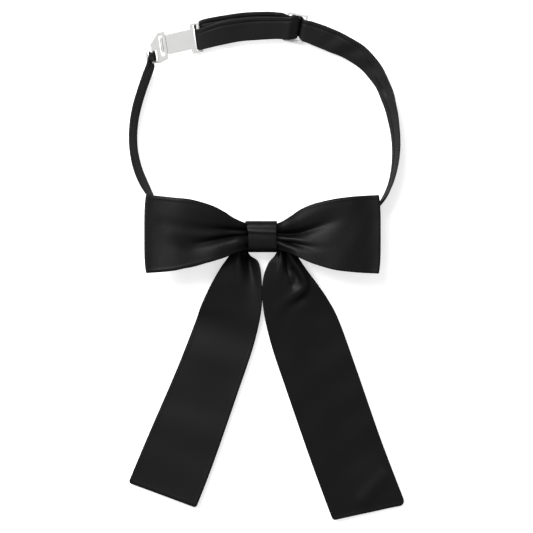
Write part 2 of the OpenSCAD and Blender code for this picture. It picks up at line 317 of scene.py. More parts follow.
def lining_material():
    """Pressed fibre interfacing: matt grey with a mottle of fibres."""
    material, tree, shader = new_material("lining", (0.05, 0.05, 0.055), 0.9, 0.1)
    place_uv = node_of(tree, "ShaderNodeUVMap", uv_map="weave")
    fibre = node_of(tree, "ShaderNodeTexVoronoi", Scale=1.6, feature="DISTANCE_TO_EDGE")
    tree.links.new(place_uv.outputs["UV"], fibre.inputs["Vector"])
    mottle = node_of(tree, "ShaderNodeTexNoise", Scale=0.8, Detail=6.0)
    tree.links.new(place_uv.outputs["UV"], mottle.inputs["Vector"])
    colour = shades(tree, mottle.outputs["Fac"], (0.03, 0.03, 0.033), (0.08, 0.08, 0.085))
    tree.links.new(colour, shader.inputs["Base Color"])
    bump = node_of(tree, "ShaderNodeBump", Strength=0.4, Distance=0.0001)
    tree.links.new(fibre.outputs["Distance"], bump.inputs["Height"])
    tree.links.new(bump.outputs["Normal"], shader.inputs["Normal"])
    return material


def plastic_material():
    """Moulded white plastic: satin-smooth, with faint flow marks and small scuffs."""
    material, tree, shader = new_material("plastic", (0.8, 0.8, 0.79), 0.42, 0.5)
    place_object = node_of(tree, "ShaderNodeTexCoord")
    flow = node_of(tree, "ShaderNodeTexNoise", Scale=180.0, Detail=2.0)
    tree.links.new(place_object.outputs["Object"], flow.inputs["Vector"])
    scuff = node_of(tree, "ShaderNodeTexNoise", Scale=2500.0, Detail=4.0)
    tree.links.new(place_object.outputs["Object"], scuff.inputs["Vector"])
    colour = shades(tree, flow.outputs["Fac"], (0.76, 0.76, 0.75), (0.84, 0.84, 0.83))
    tree.links.new(colour, shader.inputs["Base Color"])
    tree.links.new(levels(tree, scuff.outputs["Fac"], 0.34, 0.5), shader.inputs["Roughness"])
    bump = node_of(tree, "ShaderNodeBump", Strength=0.15, Distance=0.00006)
    tree.links.new(scuff.outputs["Fac"], bump.inputs["Height"])
    tree.links.new(bump.outputs["Normal"], shader.inputs["Normal"])
    return material


BOW_SATIN = satin("bow_satin", 0.0025, 0.46, 0.15, 0.3)
KNOT_SATIN = satin("knot_satin", 0.0025, 0.44, 0.175, 0.45)
TAIL_SATIN = satin("tail_satin", 0.0025, 0.48, 0.17, 0.07)
# The strap satin is the same black satin with its tone four times the rest: painted sheen for the
# brighter light on the straps' standing faces.
STRAP_SATIN_PAINTED_SHEEN = satin("strap_satin", 0.010, 0.5, 0.2, 0.25)
THREAD = thread_material()
LINING = lining_material()
PLASTIC = plastic_material()


# ---- bow ----
# Each wing's upper and lower outline: distance from the middle, then the two heights
LEFT_OUTLINE = [
    [0, 6.1, -6.4], [WING_START, 6.1, -6.8], [14, 8.8, -8.8], [18.5, 11.7, -10.7],
    [25, 15, -12.8], [35, 17.9, -15.3], [43, 18.8, -17.2], [51, 19.6, -18.1],
    [WING_END, 20.3, -18.6],
]
RIGHT_OUTLINE = [
    [0, 6.1, -6.4], [WING_START, 6.2, -6.8], [14, 9.8, -9], [18.5, 12.9, -11],
    [25, 15.7, -13.8], [35, 18.1, -16.8], [43, 19.2, -17.9], [51, 19.8, -18.5],
    [WING_END, 20.2, -18.8],
]
WAIST_Z = 7.1
WAIST_GAP = 2.6
END_GAP = 1.3
# The pressed end folds sit a little inside the CAD's and their corners draw in
END_IN = 0.9
END_BOW = 0.9
WAIST_T = 1.8
WING_RISE = 0.145
WING_PUFF = 8.5
# The least space between the middles of the layers, with the stiffener between them
FRONT_CLEAR = 1.7
# The ridge that the turned edge makes inside the wing's upper and lower outline
WING_HEM_IN = 1.3
WING_HEM_WIDTH = 0.45
WING_HEM_RISE = 0.22
WING_UNEVEN = 0.12
# How strongly the front's folds press into the back layer
BACK_ECHO = 0.18
WING_COLUMNS = 71
WING_ROWS = 66
FOLD_ROWS = 13


def wing_edges(x, side):
    """The heights of a wing's upper and lower edges at a distance from the middle."""
    line = smooth_curve(LEFT_OUTLINE if side < 0 else RIGHT_OUTLINE, 8)
    return np.interp(x, line[:, 0], line[:, 1]), np.interp(x, line[:, 0], line[:, 2])


def wing_back_z(x):
    """The height of the back layer's middle, which rises towards the wing's end."""
    return WAIST_Z + WING_RISE * np.maximum(0, x - WING_START)


def wing_gap(x):
    """The space between the middles of a wing's back and front layers."""
    t = np.clip((x - WING_START) / (WING_END - WING_START), 0, 1)
    puff = (WING_PUFF - WAIST_GAP) * np.sin(math.pi * t**0.6) * (1 - 0.4 * t)
    return WAIST_GAP + puff - (WAIST_GAP - END_GAP) * fade(t, 0.6, 1)


def wing_layer_t(x):
    """The thickness of one layer, more where the ribbon is gathered at the waist."""
    return LAYER_T + (WAIST_T - LAYER_T) * np.maximum(0, 1 - x / 20)


def trough(x, y, bottom, depth, start, stop):
    """A wide valley with its bottom on a line of (distance, y) points, gone at start and stop."""
    line = smooth_curve(bottom, 8)
    from_bottom = np.abs(y - np.interp(np.abs(x), line[:, 0], line[:, 1]))
    shape = 1 / (1 + (from_bottom / 7) ** 2)
    return -depth * shape * fade(np.abs(x), *start) * (1 - fade(np.abs(x), *stop))


def left_folds(x, y):
    """Creases of the left wing's front, out of the knot."""
    return (
        trough(x, y, [(6, 0.7), (20, -0.6), (33, -3), (44, -1)], 2.6, (7, 18), (26, 55))
        + fold(x, y, [(-6, 0.5), (-15, -0.2), (-26, -2.9), (-37, -4.6), (-48, -3)],
               (0.7, 1.9), (-4.2, 0))
        + fold(x, y, [(-6, 2.9), (-16, 2.7), (-28, 3.2), (-50, 6.5)], (0.6, 2.2), (-3.0, -0.3))
        + fold(x, y, [(-6, 1.7), (-18, 1.2), (-30, 0.4), (-44, 1)], (0.6, 1.8), (1.6, 0.2))
        + fold(x, y, [(-6, -2.2), (-18, -4.6), (-40, -11)], (1.0, 4.2), (1.6, 0.1))
        + fold(x, y, [(-6, -4.6), (-11, -6.4), (-20, -10)], (0.6, 1.4), (-1.3, 0))
        + fold(x, y, [(-8, 5), (-18, 9), (-40, 16)], (0.8, 3.0), (0.7, 0.3))
    )


def right_folds(x, y):
    """Creases of the right wing's front, out of the knot."""
    return (
        trough(x, y, [(6, 0.8), (17, 1.1), (25, 3.2), (34, 6), (46, 6)], 2.0, (7, 14), (20, 52))
        + fold(x, y, [(6, 0.7), (13, 0.7), (19, 1.5), (26, 3.6), (34, 6.6), (44, 9)],
               (0.8, 1.9), (-4.8, 0))
        + fold(x, y, [(6, -0.9), (16, -1.9), (26, -3.8), (36, -5)], (0.6, 1.8), (1.6, 0))
        + fold(x, y, [(8, -2.3), (17, -4.3), (25, -5.6), (38, -6)], (0.6, 1.9), (-2.4, 0))
        + fold(x, y, [(6, -2.4), (16, -6.6), (32, -13)], (0.7, 3), (1.6, 0))
        + fold(x, y, [(8, 4), (16, 6.5), (30, 13), (44, 16.5)], (0.8, 3), (0.7, 0.3))
        + fold(x, y, [(6, -5), (11, -7), (18, -10)], (0.6, 1.3), (-1.2, 0))
    )


def wing_rows(side):
    """A wing's middle points: out along the back layer, round the end, and in along the front."""
    fold_r = float(wing_gap(WING_END)) / 2
    straight = WING_END - END_IN - fold_r
    x = (np.linspace(0, 1, WING_ROWS) ** 1.25) * straight
    turns = np.linspace(-90, 90, FOLD_ROWS)[1:-1]
    s = across_samples(WING_COLUMNS)
    folds = left_folds if side < 0 else right_folds
    rows = []

    def row(distance, z, depth):
        """One row across the wing, with its folds raised by depth; a front row has depth > 0."""
        top, low = wing_edges(distance, side)
        y = top + (low - top) * s
        bowed = END_BOW * (2 * s - 1) ** 4 * fade(distance, WING_END - 20, WING_END)
        place_x = side * (distance - bowed)
        from_edge = np.minimum(y - low, top - y)
        hem = WING_HEM_RISE * np.exp(-((from_edge - WING_HEM_IN) / WING_HEM_WIDTH) ** 2)
        outwards = fade(distance, 15, 45)
        height = depth * folds(place_x, y) + np.sign(depth) * hem * outwards
        height = height + WING_UNEVEN * ripple(place_x, y, 16, 4 + side) * outwards
        if depth > 0:
            room = z - wing_back_z(distance) - FRONT_CLEAR
            height = np.logaddexp(0, (height + room) * 2.5) / 2.5 - room
        rows.append(np.stack([place_x, y, z + height], 1))

    for distance in x:
        row(distance, wing_back_z(distance), -BACK_ECHO)
    for turn in np.radians(turns):
        distance = straight + fold_r * math.cos(turn)
        row(distance, wing_back_z(WING_END) + fold_r * (1 + math.sin(turn)), 0.001)
    for distance in x[::-1]:
        blend_in = 1 - fade(distance, straight - 8, straight)
        row(distance, wing_back_z(distance) + wing_gap(distance), max(blend_in, 0.001))
    return np.array(rows)


def make_bow():
    """The bow's loop of ribbon: both wings, joined at the waist."""
    right = wing_rows(1)
    left = wing_rows(-1)
    middle = np.concatenate([right, left[::-1][1:-1]])
    distance = np.abs(middle[..., 0])
    bow = cloth("bow_satin_loop", middle, wing_layer_t(distance), BOW_SATIN, closed=True)
    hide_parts("bow_loop")
    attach(bow, "bow")


# Its thickness
STIFFENER_T = 0.5
# How far inside the wings' ends and outline it stops
STIFFENER_END_IN = 5.5
STIFFENER_EDGE_IN = 1.2


def make_interfacing():
    """The stiffener that lies on the bow's back layer, inside the wings."""
    reach = WING_END - STIFFENER_END_IN
    x = np.linspace(-reach, reach, 91)
    top, low = wing_edges(np.abs(x), 1)
    z = wing_back_z(np.abs(x)) + wing_layer_t(np.abs(x)) / 2 + 0.5
    stations = np.stack([x, top - STIFFENER_EDGE_IN, z, x, low + STIFFENER_EDGE_IN, z], 1)
    middle = grid_between(stations, 31)
    middle[..., 2] += 0.1 * ripple(middle[..., 0], middle[..., 1], 12, 9)
    piece = cloth("bow_stiffener", middle, STIFFENER_T, LINING)
    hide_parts("bow_interfacing")
    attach(piece, "bow")


# ---- knot ----
def rounded_loop(height, depth, r, step=0.35):
    """Points round a rounded rectangle in the YZ plane, from the middle of its back."""
    corners = [(1, -1, -90), (1, 1, 0), (-1, 1, 90), (-1, -1, 180)]
    points = [(0, -depth / 2)]
    for side_y, side_z, start in corners:
        centre = (side_y * (height / 2 - r), side_z * (depth / 2 - r))
        for turn in np.radians(np.linspace(start, start + 90, 13)):
            points.append((centre[0] + r * math.cos(turn), centre[1] + r * math.sin(turn)))
    points = np.array(points + [points[0]])
    at = travelled(points)
    wanted = np.linspace(0, at[-1], int(at[-1] / step), endpoint=False)
    return np.stack([np.interp(wanted, at, points[:, c]) for c in (0, 1)], 1)


KNOT_CORNER_R = 2.85


def make_knot():
    """The knot band: a crease across its front, and sides that draw in a little."""
    centre = (KNOT_LOW + KNOT_HIGH) / 2
    size = KNOT_HIGH - KNOT_LOW - KNOT_T
    loop = rounded_loop(size[1], size[2], KNOT_CORNER_R)
    s = across_samples(41)
    y = loop[:, :1] + centre[1] + 0 * s
    z = loop[:, 1:] + centre[2] + 0 * s
    front = fade(z, centre[2], KNOT_HIGH[2] - KNOT_T)
    drawn_in = 1 - 0.03 * front * np.cos(np.clip(y / 7, -1, 1) * math.pi / 2)
    # Its upper left corner spreads, and its lower corners round off
    flare = 1.3 * fade(y, 0.5, 7) * (1 - s) ** 2 - 0.5 * fade(-y, 5.6, 8.2) * (1 - 2 * s)
    x = (s - 0.5) * KNOT_WIDTH * drawn_in - fade(z, centre[2], centre[2] + 2) * flare
    crease = (
        0.3 * np.exp(-((y - 1.9 + 0.04 * x) / 0.6) ** 2)
        - 0.08 * np.exp(-((y - 0.2 + 0.05 * x) / 1.2) ** 2)
        + 0.16 * np.exp(-((y + 6.2 - 0.03 * x) / 0.45) ** 2)
        - 0.02 * (y - centre[1] - 1) ** 2
        + 0.05 * ripple(x, y, 6, 3)
    )
    z = z + front * (crease - 0.25 * (2 * s - 1) ** 2)
    middle = np.stack([x, y, z], -1)
    knot = cloth("knot_band", middle, KNOT_T - 0.1, KNOT_SATIN, closed=True)
    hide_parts("knot_wrap")
    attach(knot, "bow")


# ---- tails ----
# Pairs of points on the tail's inner and outer edges, then its height
TAIL_LEFT = [
    [-7.9, -6.6, -10.5, 0.5, BRIDGE_Z], [-6.5, -9.9, -16, -9.5, 4.8],
    [-2.4, -13.2, -20.3, -15.5, 5.2], [-0.9, -22, -25.2, -24, 4.4],
    [-0.9, -36, -30.4, -35, 2.2], [-4.7, -54, -33.4, -43.5, 0.85],
    [-12.7, -78, -42.6, -67, 0.75], [-25.2, -114, -57.7, -102, 0.75],
    [-33.7, -136, -66.9, -124, 0.75],
]
TAIL_RIGHT = [
    [7.9, -6.6, 10.5, 0.5, BRIDGE_Z], [6.5, -9.9, 17.2, -10.2, 4.8],
    [3.1, -14.2, 21.8, -17, 5.2], [0.5, -23, 27, -24, 4.6],
    [0.8, -36, 32.4, -32, 2.4], [4.7, -54, 37.9, -42.6, 0.85],
    [12.7, -78, 46.5, -66.4, 0.75], [25.2, -114, 59, -102.4, 0.75],
    [35.7, -142.4, 71.4, -134.8, 0.75],
]

# How much higher a tail's inner edge lies than its outer one
TAIL_TILT = 2.2
# How much the right tail's outer edge turns up again, and over what share of its width
RIGHT_LIP = 1.1
LIP_SHARE = 0.4
# How far its rounded edges stand out past the CAD's on each side
TAIL_SPREAD = 0.5
# The ridge inside its turned edges and end
TAIL_HEM_IN = 1.2
TAIL_HEM_WIDTH = 0.5
TAIL_HEM_RISE = 0.12
TAIL_UNEVEN = 0.16
TAIL_COLUMNS = 61


def left_tail_folds(x, y):
    """Creases of the left tail, out of the knot."""
    return (
        fold(x, y, [(-11.1, -3), (-11.6, -9), (-11.6, -15), (-12.2, -26), (-13, -38)],
             (1.0, 2.6), (2.5, 0))
        + fold(x, y, [(-8, -3), (-7, -11), (-5.8, -19), (-4.4, -29), (-4.6, -42)],
               (1.6, 3), (-4.1, 0))
        + fold(x, y, [(-9.4, -4), (-9.1, -9), (-8.6, -16)], (0.4, 0.6), (0.7, 0))
        + fold(x, y, [(-14, -12), (-17, -26), (-22, -60)], (2.4, 8), (1.3, 0.6))
    )


def right_tail_folds(x, y):
    """Creases of the right tail: round its lobe by the knot, and across its end."""
    return (
        fold(x, y, [(9.4, -4), (9.4, -12), (9, -19), (8.5, -25)], (0.6, 1.2), (1.6, 0))
        + fold(x, y, [(10.4, -5), (11.6, -12), (13.2, -19), (15, -24)], (0.7, 1.1), (-3.2, -0.4))
        + fold(x, y, [(11.2, -5), (14.6, -11), (18.4, -17), (21, -22), (20.6, -26),
                      (16.5, -29.8), (11.5, -33.4), (7, -40), (4, -50)], (0.7, 2.2), (3.2, 0))
        + fold(x, y, [(15.4, -17), (16.8, -20.5), (15.4, -24)], (0.9, 1.3), (-1.6, -0.6))
        + fold(x, y, [(20, -31.5), (14, -36), (9, -44)], (1.5, 3), (-0.7, -0.2))
        + fold(x, y, [(24, -56), (34, -78), (48, -112)], (5, 7), (-0.6, -1.0))
        + fold(x, y, [(50.5, -132), (61, -121)], (2.8, 3.0), (0.9, 0.9))
    )


def corner_inset(to_end, r):
    """How far a rounded corner of that radius draws in, this far from the ribbon's end."""
    return r - math.sqrt(max(r * r - max(r - to_end, 0) ** 2, 0))


def make_tail(name, rows, folds, lip, corners, node, seed):
    """A tail from its edge points; corners are its end's outer and inner corner radius."""
    corner_outer, corner_inner = corners
    pairs = smooth_curve(rows, 10)
    stations = np.stack([pairs[:, 2], pairs[:, 3], pairs[:, 4],
                         pairs[:, 0], pairs[:, 1], pairs[:, 4]], 1)
    stations = resampled(stations, 0.9)
    middle_line = (stations[:, :3] + stations[:, 3:]) / 2
    length = travelled(middle_line)
    for station, at in zip(stations, length):
        over = unit(station[3:] - station[:3])
        station[:3] += over * (corner_inset(length[-1] - at, corner_outer) - TAIL_SPREAD)
        station[3:] -= over * (corner_inset(length[-1] - at, corner_inner) - TAIL_SPREAD)
    middle = grid_between(stations, TAIL_COLUMNS)
    x, y = middle[..., 0], middle[..., 1]
    s = across_samples(TAIL_COLUMNS)
    from_outer = s * np.linalg.norm(stations[:, 3:] - stations[:, :3], axis=1, keepdims=True)
    from_edge = np.minimum(from_outer, from_outer[:, -1:] - from_outer)
    from_end = length[-1] - length[:, None]
    in_from_hem = np.minimum(from_edge, from_end) - TAIL_HEM_IN
    hem = TAIL_HEM_RISE * np.exp(-(in_from_hem / TAIL_HEM_WIDTH) ** 2)
    uneven = TAIL_UNEVEN * (1 + ripple(x, y, 26, seed))
    lying = fade(length[:, None], 12, 40)
    across_rise = TAIL_TILT * s + lip * np.clip(1 - s / LIP_SHARE, 0, 1) ** 2
    tilt = across_rise * fade(length, 8, 40)[:, None]
    middle[..., 2] += folds(x, y) + tilt + lying * (hem + uneven)
    tail = cloth(name, middle, TAIL_T, TAIL_SATIN)
    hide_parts(node)
    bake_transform(tail)


# Its middle line's place, its thickness and half its bunched width
GATHER_Y = -2.3
GATHER_T = 1.2
GATHER_HALF = 3.6
PLEAT_PITCH = 2.2
PLEAT_RISE = 0.28


def make_tail_bridge():
    """Where the tail ribbon passes through the knot, bunched by its thread."""
    reach = KNOT_WIDTH / 2 + 2
    x = np.linspace(-reach, reach, 51)
    waist = 1 - fade(np.abs(x), 2, KNOT_WIDTH / 2)
    half = GATHER_HALF - 0.75 * waist
    z = 0 * x + BRIDGE_Z
    stations = np.stack([x, GATHER_Y + half, z, x, GATHER_Y - half, z], 1)
    middle = grid_between(stations, 31)
    pleats = np.cos((middle[..., 1] - GATHER_Y) * 2 * math.pi / PLEAT_PITCH)
    middle[..., 2] += PLEAT_RISE * pleats
    bridge = cloth("tail_gather", middle, GATHER_T, TAIL_SATIN)
    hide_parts("tail_bridge")
    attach(bridge, "bow")


# ---- neckband frames, as in the CAD ----
BAND_CENTRE = np.array([0, 17, 5.9])
BAND_R = 88.2
BAND_LEAN = math.radians(57)
SLIDER_TURN = 10.7
HOOK_TURN = -21


def place(at, p):
    """A point given as along, across and out of a frame."""
    return at[0] + p[0] * at[1] + p[1] * at[2] + p[2] * at[3]


def band_frame(turn):
    """Origin, along, across and out of the strap's inner face, at a turn on the back arc."""
    a = math.radians(turn)
    out = np.array([math.sin(a), math.cos(a), 0])
    along = np.array([math.cos(a), -math.sin(a), 0])
    across = math.sin(BAND_LEAN) * out + np.array([0, 0, math.cos(BAND_LEAN)])
    return [BAND_CENTRE + BAND_R * out, along, across, np.cross(along, across)]


def clasp_frame():
    """The same for the clasp, whose origin is the middle of the hook's strap bar."""
    origin, axis = joint_place("hook_swing")
    heading, pitch = math.radians(15), math.radians(16)
    along = np.array([
        math.cos(pitch) * math.cos(heading), math.cos(pitch) * math.sin(heading), -math.sin(pitch)
    ])
    return [origin, along, -axis, np.cross(along, -axis)]


def across_at(at, x, z, half=STRAP_W / 2, shift=0.0):
    """A strap's two edge points across a frame, at x along it and z out of it."""
    return np.concatenate([place(at, (x, shift + half, z)), place(at, (x, shift - half, z))])


def round_bar(at, x, r, start, stop, half=STRAP_W / 2, shift=0.0):
    """Edge pairs of a strap that wraps a bar at x, from one angle to another."""
    turns = np.radians(np.linspace(start, stop, 25))
    return [across_at(at, x + r * math.cos(a), r * math.sin(a), half, shift) for a in turns]


def standing(points):
    """Edge pairs of a strap on the table, from [x, y, height of its low edge, lean] points."""
    points = np.asarray(points, float)
    pairs = []
    for i, (x, y, low, lean) in enumerate(points):
        way = points[min(i + 1, len(points) - 1)] - points[max(i - 1, 0)]
        out = unit(np.array([-way[1], way[0], 0]))
        a = math.radians(lean)
        rise = low + STRAP_W / 2 * math.cos(a) + STRAP_T / 2 * abs(math.sin(a))
        half = STRAP_W / 2 * (math.sin(a) * out + np.array([0, 0, math.cos(a)]))
        mid = np.array([x, y, rise])
        pairs.append(np.concatenate([mid + half, mid - half]))
    return pairs


# ---- neck straps ----
# Each strap on the table: x and y of its middle line, height of its low edge, lean outwards
STRAP_LEFT = [
    [5.6, KNOT_Y, 1.15, -90], [-8.5, KNOT_Y, 1.15, -90], [-20, 1.5, 0.4, -86],
    [-36, 6, 0.05, -58], [-48, 12, 0.05, -20], [-54.3, 17.5, 0.05, 4], [-58.2, 24, 0.05, 16],
    [-62.2, 33, 0.05, 16], [-64.6, 43, 0.05, 14], [-64.7, 53, 0.05, 14], [-63.2, 63, 0.05, 14],
    [-60.4, 73, 0.05, 14], [-57.5, 81, 0.2, 16],
]
STRAP_RIGHT = [
    [48.3, 91.3, 0.8, 49], [53.6, 86.4, 0.3, 42], [57.6, 80.8, 0.4, 35], [60.8, 75, 0.5, 30],
    [64.6, 63, 0.4, 24], [66.7, 51, 0.2, 17], [67, 40, 0.05, 11], [65.4, 29, 0.05, 8],
    [62.8, 21.4, 0.05, 8], [57.8, 14.4, 0.05, 0], [50, 9.5, 0.05, -20], [36, 4.6, 0.05, -58],
    [20, 1.2, 0.4, -86], [8.5, KNOT_Y, 2.25, -90], [-5.6, KNOT_Y, 2.25, -90],
]
# The weave through the slider: x along the strap, z out of the slider's face, and how far the
# strap's lower edge is squeezed up
WEAVE = [(7.5, 1.1, 0.1), (4.6, 1.25, 0.7), (3.2, 0.5, 1.5), (2.7, -0.9, 1.7), (1.6, -2.2, 1.2),
         (0.5, -2.55, 0.6), (0.01, -2.55, 0.6)]
# How far in from a strap's upper edge its seam runs, its width and its depth
SEAM_IN = 2.3
SEAM_WIDTH = 0.4
SEAM_DEPTH = 0.55
# How far the strip above the seam stands out
SEAM_LIP = 0.25
STRAP_COLUMNS = 45
# How far the front layer's upper edge is pulled down at the hook
FRONT_DROP = 1.8
# How far the back layer stands above the front one
BACK_LIFT = 1.9
# Radius of the strap's middle where it wraps the hook's bar
HOOK_WRAP_R = 1.45
# The eye's strap bar, along and across the clasp's frame, and half the width of the strap's loop
# round it, in millimetres
EYE_BAR_X = -25.35
EYE_BAR_Y = -4.4
EYE_LOOP_HALF = 2.4
# The strap's two edges where it starts to gather for the eye
NEAR_EYE = np.array([-57.9, 85.2, 10.8, -54.2, 84.6, 2.4])


def squeezed(at, x, z, low, high=0.0):
    """A strap's edge points with its lower edge drawn up and its upper edge pushed up."""
    half = STRAP_W / 2 - 0.1
    return across_at(at, x, z, half + (high - low) / 2, (high + low) / 2)


def weave_side(side, lift=0.0):
    """The strap from under the slider's bar out to one side of it, raised by lift at its end."""
    at = band_frame(SLIDER_TURN)
    rows = []
    for x, z, low in WEAVE[::-1]:
        up = lift * float(fade(x, 1.5, WEAVE[0][0]))
        rows.append(squeezed(at, side * x, z, low + up, up))
    return rows


def relaxed(stations, rounds):
    """The stations with the corners eased out of the run, and its ends kept."""
    stations = resampled(stations, 1.1)[2:-2]
    for _ in range(rounds):
        eased = (stations[:-2] + 2 * stations[1:-1] + stations[2:]) / 4
        stations = np.concatenate([stations[:1], eased, stations[-1:]])
    return list(stations)


def make_strap(name, stations, node, seed, face, buckle=0.0, wander=0.0):
    """A strap pressed flat, with a seam beside its upper edge and slight buckles along it.

    face is the side the seam is seen from, 1 or -1, and buckle is the buckles' height. The seam
    wanders further in from the edge, by wander, where the strap turns to stand up.
    """
    stations = resampled(stations, 1.0)
    middle = grid_between(stations, STRAP_COLUMNS)
    s = across_samples(STRAP_COLUMNS)
    wide = np.linalg.norm(stations[:, 3:] - stations[:, :3], axis=1)[:, None]
    length = travelled((stations[:, :3] + stations[:, 3:]) / 2)
    wandered = wander * fade(length, 28, 58)[:, None]
    seam_in = SEAM_IN + wandered
    seam = np.exp(-((s * wide - seam_in) / (SEAM_WIDTH + 0.1 * wandered)) ** 2)
    thickness = STRAP_T * (0.94 - 0.35 * seam)
    normal = unit(np.cross(np.gradient(middle, axis=0), np.gradient(middle, axis=1)))
    along = length[:, None] + 0 * s
    middle_only = np.sin(math.pi * s) ** 0.7
    bulge = (
        0.14 * ripple(along, s * wide, 20, seed)
        + SEAM_LIP * (1 - fade(s * wide, seam_in - 0.5, seam_in + 0.4))
        - (SEAM_DEPTH + 0.1 * wandered) * seam
        + buckle * np.sin(2 * math.pi * (along + 0.5 * s * wide) / 13) * middle_only
        * fade(along, 12, 24) * (1 - fade(along, 60, 85))
    )
    free = (fade(length, 4, 10) * fade(length[-1] - length, 4, 10))[:, None]
    middle = middle + normal * (face * bulge * free)[..., None]
    strap = cloth(name, middle, thickness, STRAP_SATIN_PAINTED_SHEEN)
    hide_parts(node)
    return strap


def slide_with_slider(layer):
    """Fixes a strap layer's place into its mesh."""
    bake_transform(layer)


def arc_stations(start, stop, step, z, shift=0.0):
    """Edge pairs of a strap along the back arc."""
    return [across_at(band_frame(turn), 0, z, STRAP_W / 2, shift)
            for turn in np.arange(start, stop, step)]


def make_straps():
    """The short left strap, then the long one's three parts: right, back layer, front layer."""
    clasp = clasp_frame()
    slider = band_frame(SLIDER_TURN)

    run = relaxed(smooth_curve(standing(STRAP_LEFT), 8), 12)
    turn_in = [place(clasp, (EYE_BAR_X - 1.0, EYE_BAR_Y + 1.4, -1.9)),
               place(clasp, (EYE_BAR_X + 1.1, EYE_BAR_Y - 3.2, -2.2))]
    under_eye = [
        run[-1], NEAR_EYE, np.concatenate(turn_in),
        across_at(clasp, EYE_BAR_X + 1.9, -1.5, EYE_LOOP_HALF, EYE_BAR_Y),
    ]
    eye_loop = round_bar(clasp, EYE_BAR_X, 1.3, -8, 205, EYE_LOOP_HALF, EYE_BAR_Y)
    tail_end = across_at(clasp, EYE_BAR_X - 0.7, -2.0, EYE_LOOP_HALF, EYE_BAR_Y)
    stations = run[:-1] + list(smooth_curve(under_eye, 8)) + eye_loop + [tail_end]
    left = make_strap("strap_left_band", stations, "strap_left", 11, -1)
    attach(left, "bow")

    arc = arc_stations(SLIDER_TURN + 9, SLIDER_TURN + 15, 5, 1)
    run = relaxed(smooth_curve(arc + standing(STRAP_RIGHT), 8), 70)
    stations = list(smooth_curve(weave_side(1), 5)) + list(run)
    right = make_strap("strap_right_band", stations, "strap_right", 12, -1, 0.5, 5.4)
    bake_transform(right)

    wrap = round_bar(clasp, 0, HOOK_WRAP_R, 270, 180)
    arc = arc_stations(SLIDER_TURN - 9, HOOK_TURN + 6.9, -6, 1, BACK_LIFT)
    run = smooth_curve(arc + [across_at(clasp, 3.5, -1.7, shift=1.6), wrap[0]], 8)
    stations = list(smooth_curve(weave_side(-1, 1.6), 5)) + list(run) + wrap[1:]
    back = make_strap("strap_back_band", stations, "strap_back_layer", 13, 1)
    slide_with_slider(back)

    wrap = round_bar(clasp, 0, HOOK_WRAP_R, 180, 90, STRAP_W / 2 - FRONT_DROP / 2,
                     -FRONT_DROP / 2)
    arc = arc_stations(HOOK_TURN + 7, SLIDER_TURN - 8.9, 6, 2.3, -0.5)
    over_slider = [squeezed(slider, *row) for row in
                   ((-7.5, 2.5, 0, 0), (-4.6, 2.5, 0.2, 0.4), (-2.4, 2.45, 0.6, 1.6))]
    run = smooth_curve([wrap[-1]] + arc + over_slider, 8)
    bar_wrap = []
    for a in np.radians(np.linspace(80, -190, 37)):
        over_rail = 1.9 * fade(math.sin(a), 0.75, 1)
        bar_wrap.append(squeezed(slider, 1.4 * math.cos(a), 1.4 * math.sin(a), 1.1, over_rail))
    stations = wrap[:-1] + list(run) + bar_wrap
    front = make_strap("strap_front_band", stations, "strap_front_layer", 14, -1)
    slide_with_slider(front)


# ---- thread ----
def yarn(name, paths, r, node, body):
    """Two twisted plies of thread along each path, which is a list of points in millimetres."""
    points, faces = [], []
    sides = 8
    for path in paths:
        path = np.asarray(path, float)
        at = travelled(path)
        count = max(int(at[-1] / (r * 0.45)), 6)
        wanted = np.linspace(0, at[-1], count)
        line = np.stack([np.interp(wanted, at, path[:, c]) for c in range(3)], 1)
        way = unit(np.gradient(line, axis=0))
        helper = np.where(np.abs(way[:, 2:]) > 0.9, [[1.0, 0, 0]], [[0, 0, 1.0]])
        u = unit(np.cross(way, helper))
        v = np.cross(way, u)
        for ply in (0, math.pi):
            twist = wanted / (r * 5) * 2 * math.pi + ply
            core = line + 0.48 * r * (np.cos(twist)[:, None] * u + np.sin(twist)[:, None] * v)
            base = len(points)
            taper = np.minimum(np.minimum(np.arange(count), np.arange(count)[::-1]) / 1.5, 1)
            for i in range(count):
                for k in range(sides):
                    a = 2 * math.pi * k / sides
                    ring = 0.56 * r * max(taper[i], 0.15)
                    points.append(core[i] + ring * (math.cos(a) * u[i] + math.sin(a) * v[i]))
            for i in range(count - 1):
                for k in range(sides):
                    m = (k + 1) % sides
                    low, high = base + i * sides, base + (i + 1) * sides
                    faces.append((low + k, low + m, high + m, high + k))
            faces.append(tuple(base + k for k in range(sides))[::-1])
            faces.append(tuple(base + (count - 1) * sides + k for k in range(sides)))
    piece = make_piece(name, np.array(points), faces, THREAD)
    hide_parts(node)
    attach(piece, body)


def stitch(start, end, rise):
    """A stitch that comes up at start, lies along the cloth, and goes down at end."""
    start, end, rise = np.array(start), np.array(end), np.array(rise)
    return smooth_curve([start - rise, start + 0.6 * rise, (start + end) / 2 + rise,
                         end + 0.6 * rise, end - rise], 4)


def wound(turns, pitch, height, depth, centre):
    """Turns of thread wound side by side round the X axis."""
    loop = rounded_loop(height, depth, min(height, depth) / 2.6, 0.3)
    share = np.arange(len(loop)) / len(loop)
    path = []
    for k in range(turns):
        x = (k + share - turns / 2) * pitch
        path.append(np.stack([centre[0] + x, centre[1] + loop[:, 0], centre[2] + loop[:, 1]], 1))
    return [np.concatenate(path)]


